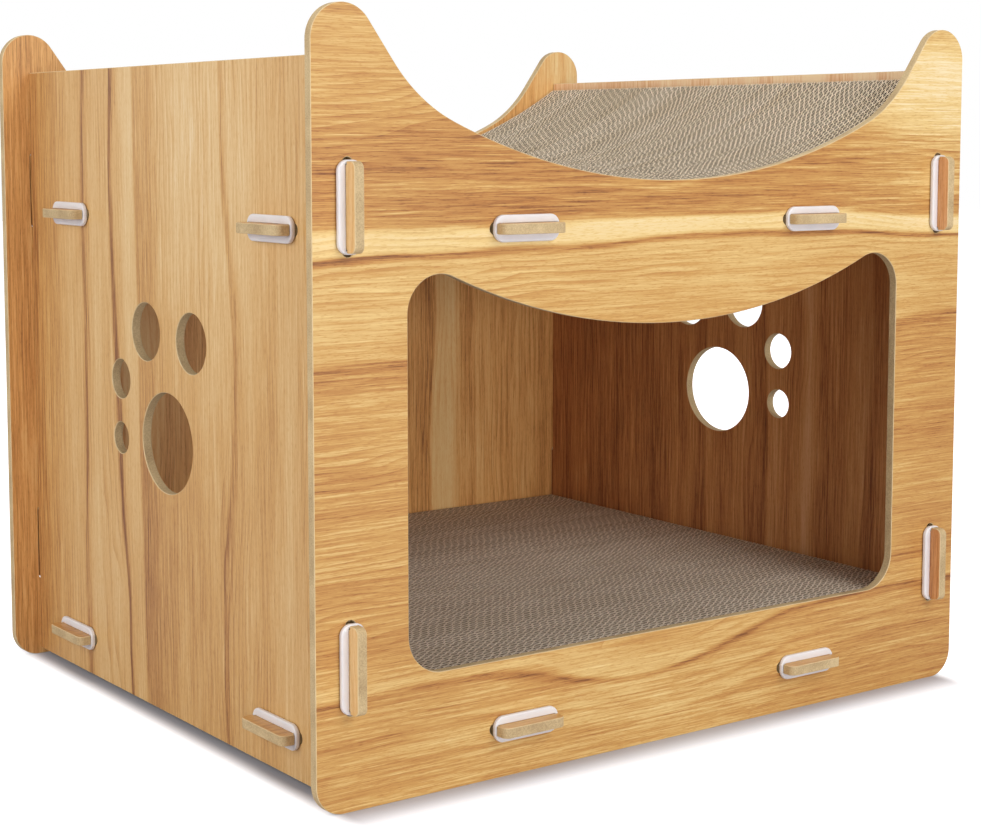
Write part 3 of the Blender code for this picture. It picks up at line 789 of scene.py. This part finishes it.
def kraft_paper(name, pale, deep, shade_at_top, shade_depth):
    """Brown paper, with a painted shade inside the flutes, from a share at the top to nearly dark at a depth.
    """
    paper, tree, shader, place = new_material(name)
    # It differs by its fibres, drawn coarse so that they show, from strip to strip, and where it is worn
    fibres = add_node(tree, "ShaderNodeTexNoise", {"Vector": place, "Scale": 1 / (0.9 * MM), "Detail": 3.0})
    strips = add_node(tree, "ShaderNodeAttribute", attribute_name="row_tone").outputs["Fac"]
    worn = add_node(tree, "ShaderNodeTexNoise", {"Vector": place, "Scale": 1 / (45 * MM), "Detail": 3.0})
    shade = add_node(tree, "ShaderNodeMath", {0: strips, 1: 0.45, 2: fibres}, operation="MULTIPLY_ADD")
    shade = add_node(tree, "ShaderNodeMath", {0: worn, 1: 0.6, 2: shade}, operation="MULTIPLY_ADD")
    amount = add_node(tree, "ShaderNodeMapRange", {"Value": shade, "From Min": 0.65, "From Max": 1.45})
    colour = add_node(tree, "ShaderNodeMix", {
        "Factor": amount, "A": linear(pale), "B": linear(deep)}, data_type="RGBA").outputs["Result"]
    # Inside the flutes a painted shade darkens the paper at once, more than the depth of the paper alone
    # would show.
    # The block's own sides stay the colour of paper, without painted shade
    depth = add_node(tree, "ShaderNodeAttribute", attribute_name="depth").outputs["Fac"]
    dark = add_node(tree, "ShaderNodeMapRange", {
        "Value": depth, "From Max": shade_depth, "To Min": shade_at_top, "To Max": FLUTE_SHADE_MOST})
    off_middle = add_node(tree, "ShaderNodeVectorMath", {0: place}, operation="ABSOLUTE")
    aside = add_node(tree, "ShaderNodeSeparateXYZ", {0: off_middle}).outputs
    for axis, half in zip("XY", INSIDE):
        within = add_node(tree, "ShaderNodeMath", {0: aside[axis], 1: half}, operation="LESS_THAN")
        dark = add_node(tree, "ShaderNodeMath", {0: dark, 1: within}, operation="MULTIPLY")
    colour = add_node(tree, "ShaderNodeMix", {
        "Factor": dark, "A": colour, "B": linear(FLUTE_SHADE_COLOUR)}, data_type="RGBA").outputs["Result"]
    # Unbleached kraft paper: matt, with a fuzz of fibres that scatters light at a grazing angle
    feed(tree, shader, {"Base Color": colour, "Roughness": 0.92, "Sheen Weight": 0.05,
                        "Specular IOR Level": 0.25})
    return paper


# The lower scratcher stands in the shade of the house, where the flutes show less contrast: its painted flute
# shade starts lighter and darkens over a greater depth, and its cut edge is painted paler
paper_below = (kraft_paper("kraft_paper_wall_below", *PAPER_INSIDE, 0.50, 0.7 * MM),
               kraft_paper("kraft_paper_cut_edge_below", *PAPER_CUT_PAINTED_PALER, 0.0, 0.2 * MM))
paper_above = (kraft_paper("kraft_paper_wall_above", *PAPER_INSIDE, 0.93, 0.2 * MM),
               kraft_paper("kraft_paper_cut_edge_above", *PAPER_CUT, 0.0, 0.2 * MM))
print("Papers made:", len(paper_below + paper_above))

# %% A tree for rows of paper
row_tree = tree = bpy.data.node_groups.new("rows_of_paper", "GeometryNodeTree")
add_sockets(tree, "INPUT", {
    "Length": "Float", "Rows": "Int", "First row": "Float", "Row spacing": "Float", "Paper": "Float",
    "Steps": "Int", "Wave height": "Float", "Flute length": "Float", "Base height": "Float",
    "Lowest top": "Float", "Bend": "Float", "Fraying": "Float", "Seed": "Int", "Wall": "Material",
    "Cut edge": "Material"})
add_sockets(tree, "OUTPUT", {"Pad": "Geometry"})
given = add_node(tree, "NodeGroupInput").outputs
print("Inputs of the tree:", len(given))

# %% One point for each row
# It remembers where the row's wave starts and how dark its paper is. A wave starts up to half a flute late,
# by chance, and every other one a quarter of a flute later still
SHIFT_PLAY = 0.5             # in flutes
SHIFT_STEP = 0.25

first_row = add_node(tree, "ShaderNodeCombineXYZ", {"Y": given["First row"]})
next_row = add_node(tree, "ShaderNodeCombineXYZ", {"Y": given["Row spacing"]})
rows = add_node(tree, "GeometryNodeMeshLine", {
    "Count": given["Rows"], "Start Location": first_row, "Offset": next_row})
index = add_node(tree, "GeometryNodeInputIndex")
chance = add_node(tree, "FunctionNodeRandomValue", {
    "ID": index, "Seed": given["Seed"]}, data_type="FLOAT").outputs["Value"]
every_other = add_node(tree, "ShaderNodeMath", {0: index, 1: 2.0}, operation="MODULO")
quarter = add_node(tree, "ShaderNodeMath", {0: every_other, 1: SHIFT_STEP}, operation="MULTIPLY")
start = add_node(tree, "ShaderNodeMath", {0: chance, 1: SHIFT_PLAY, 2: quarter}, operation="MULTIPLY_ADD")
points = rows
for label, value in (("row_shift", start), ("row_tone", chance)):
    points = add_node(tree, "GeometryNodeStoreNamedAttribute", {
        "Geometry": points, "Name": label, "Value": value}, data_type="FLOAT", domain="POINT")
print("Nodes:", len(tree.nodes))

# %% A wavy ribbon in every row
# It is as wide as the paper is thick
corners_along = add_node(tree, "ShaderNodeMath", {0: given["Steps"], 1: 1}, operation="ADD")
ribbon = add_node(tree, "GeometryNodeMeshGrid", {
    "Size X": given["Length"], "Size Y": given["Paper"], "Vertices X": corners_along, "Vertices Y": 2})
laid = add_node(tree, "GeometryNodeInstanceOnPoints", {"Points": points, "Instance": ribbon})
ribbons = add_node(tree, "GeometryNodeRealizeInstances", {0: laid})
here = add_node(tree, "GeometryNodeInputPosition")
x_here = add_node(tree, "ShaderNodeSeparateXYZ", {0: here}).outputs["X"]
shift = add_node(tree, "GeometryNodeInputNamedAttribute", {"Name": "row_shift"}, data_type="FLOAT")
flutes = add_node(tree, "ShaderNodeMath", {0: x_here, 1: given["Flute length"]}, operation="DIVIDE")
flutes = add_node(tree, "ShaderNodeMath", {0: flutes, 1: shift}, operation="ADD")
angle = add_node(tree, "ShaderNodeMath", {0: flutes, 1: math.tau}, operation="MULTIPLY")
swing = add_node(tree, "ShaderNodeMath", {0: angle}, operation="SINE")
sideways = add_node(tree, "ShaderNodeMath", {0: swing, 1: given["Wave height"]}, operation="MULTIPLY")
wave_move = add_node(tree, "ShaderNodeCombineXYZ", {"Y": sideways, "Z": given["Base height"]})
waved = add_node(tree, "GeometryNodeSetPosition", {"Geometry": ribbons, "Offset": wave_move})
print("Nodes:", len(tree.nodes))

# %% Up to the pad's surface
# The ribbon is pulled far above the house, and then its upper edge is brought down to the surface, which is
# an arc whose bend is one over its radius
PULL = 1.0                   # metres. Only what was pulled up is higher than 0.8 of it

pulled = add_node(tree, "GeometryNodeExtrudeMesh", {
    "Mesh": waved, "Offset": (0.0, 0.0, PULL), "Individual": False}, mode="FACES")
after = add_node(tree, "GeometryNodeInputPosition")
parts = add_node(tree, "ShaderNodeSeparateXYZ", {0: after})
is_top = add_node(tree, "FunctionNodeCompare", {
    0: parts.outputs["Z"], 1: 0.8 * PULL}, data_type="FLOAT", operation="GREATER_THAN")
turned = add_node(tree, "ShaderNodeMath", {0: parts.outputs["X"], 1: given["Bend"]}, operation="MULTIPLY")
squared = add_node(tree, "ShaderNodeMath", {0: turned, 1: 2.0}, operation="POWER")
left_over = add_node(tree, "ShaderNodeMath", {0: 1.0, 1: squared}, operation="SUBTRACT")
root = add_node(tree, "ShaderNodeMath", {0: left_over}, operation="SQRT")
drop = add_node(tree, "ShaderNodeMath", {0: 1.0, 1: root}, operation="SUBTRACT")
rise = add_node(tree, "ShaderNodeMath", {0: drop, 1: given["Bend"]}, operation="DIVIDE")
height = add_node(tree, "ShaderNodeMath", {0: rise, 1: given["Lowest top"]}, operation="ADD")
wall_height = add_node(tree, "ShaderNodeMath", {0: height, 1: given["Base height"]}, operation="SUBTRACT")
is_foot = add_node(tree, "FunctionNodeBooleanMath", {0: is_top}, operation="NOT")
depth = add_node(tree, "ShaderNodeMath", {0: wall_height, 1: is_foot}, operation="MULTIPLY")
deep = add_node(tree, "GeometryNodeStoreNamedAttribute", {
    "Geometry": pulled, "Name": "depth", "Value": depth}, data_type="FLOAT", domain="POINT")
tufts = add_node(tree, "ShaderNodeTexNoise", {"Vector": after, "Scale": 1 / (2 * MM), "Detail": 1.0})
frayed = add_node(tree, "ShaderNodeMath", {0: tufts, 1: given["Fraying"]}, operation="MULTIPLY")
cut_height = add_node(tree, "ShaderNodeMath", {0: height, 1: frayed}, operation="SUBTRACT")
top_place = add_node(tree, "ShaderNodeCombineXYZ", {
    "X": parts.outputs["X"], "Y": parts.outputs["Y"], "Z": cut_height})
shaped = add_node(tree, "GeometryNodeSetPosition", {
    "Geometry": deep, "Selection": is_top, "Position": top_place})
print("Nodes:", len(tree.nodes))

# %% Brown walls and paler cut edges
whole = add_node(tree, "GeometryNodeRealizeInstances", {0: shaped})
walled = add_node(tree, "GeometryNodeSetMaterial", {"Geometry": whole, "Material": given["Wall"]})
normal = add_node(tree, "GeometryNodeInputNormal")
upward = add_node(tree, "ShaderNodeSeparateXYZ", {0: normal})
on_top = add_node(tree, "FunctionNodeCompare", {
    0: upward.outputs["Z"], 1: 0.5}, data_type="FLOAT", operation="GREATER_THAN")
edged = add_node(tree, "GeometryNodeSetMaterial", {
    "Geometry": walled, "Selection": on_top, "Material": given["Cut edge"]})
add_node(tree, "NodeGroupOutput", {0: edged})
print("Nodes:", len(tree.nodes))

# %% The two scratchers
# Double-wall board: two waves between three liners. The outer liners are glued to the next strip's. The real
# paper is about 0.3 mm thick and its waves 7 mm long. It is drawn three times as thick, because the saw frays
# it at the cut, and its waves shorter, because frayed holes look smaller and rounder than they are
STRIP_THICKNESS = 7.05 * MM
GLUED_THICKNESS = 1.00 * MM
FRAYING = 0.2 * MM
WAVE_STEP = 1.2 * MM         # between two points of a wave, so far apart that no two flutes look alike
LINER_STEPS = 96             # pieces of a straight liner, enough for the hollow's arc
FLAT_BEND = 0.001            # so slight that the surface is level
PAPER_FOLD = math.radians(72.0)      # paper that turns less than this is shaded round


def make_scratcher(node_name, body, seed, thickness, flute_length, wall, edge):
    """Liners and waves of paper that fill a scratcher's block, as three pieces."""
    low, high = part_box(node_name)
    length, depth = high.x - low.x, high.y - low.y
    # The solid's front edge shows the arc without the open rows of flutes behind it
    lowest = min(v.co.z for v in nodes[node_name].data.vertices
                 if v.co.y < low.y + MM and v.co.z > low.z + 5 * MM)
    hollow = high.z - lowest
    bend = 2 * hollow / ((length / 2) ** 2 + hollow ** 2) if hollow > MM else FLAT_BEND
    strips = round((depth - GLUED_THICKNESS) / STRIP_THICKNESS)
    strip = (depth - GLUED_THICKNESS) / strips
    first = low.y + GLUED_THICKNESS / 2
    common = {"Length": length, "Base height": low.z, "Lowest top": lowest, "Bend": bend, "Fraying": FRAYING,
              "Seed": seed, "Flute length": flute_length, "Wall": wall, "Cut edge": edge}
    glued = {"Rows": strips + 1, "First row": first, "Row spacing": strip, "Steps": LINER_STEPS,
             "Wave height": 0.0, "Paper": GLUED_THICKNESS}
    middle = {**glued, "Rows": strips, "First row": first + strip / 2, "Paper": thickness}
    waves = {"Rows": 2 * strips, "First row": first + strip / 4, "Row spacing": strip / 2,
             "Steps": round(length / WAVE_STEP), "Paper": thickness,
             "Wave height": (strip / 2 - GLUED_THICKNESS / 2 - 1.5 * thickness) / 2}
    for part, values, replaced in (("glued_liners", glued, [node_name]), ("middle_liners", middle, []),
                                   ("flutes", waves, [])):
        name = f"{node_name}_{part}"
        mesh = made_by_nodes(name, bpy.data.meshes.new(name), row_tree, {**common, **values})
        mesh.shade_smooth()
        mesh.set_sharp_from_angle(angle=PAPER_FOLD)
        show_as_piece(name, mesh, body, replaced)
        print(name, "faces:", len(mesh.polygons))


# A seed, the paper's thickness and the flutes' length. In the shade below, the paper is drawn thicker
make_scratcher("floor_scratcher", "flat_pad", 11, 1.00 * MM, 5.0 * MM, *paper_below)
make_scratcher("lounge_scratcher", "lounge_pad", 23, 0.85 * MM, 3.8 * MM, *paper_above)
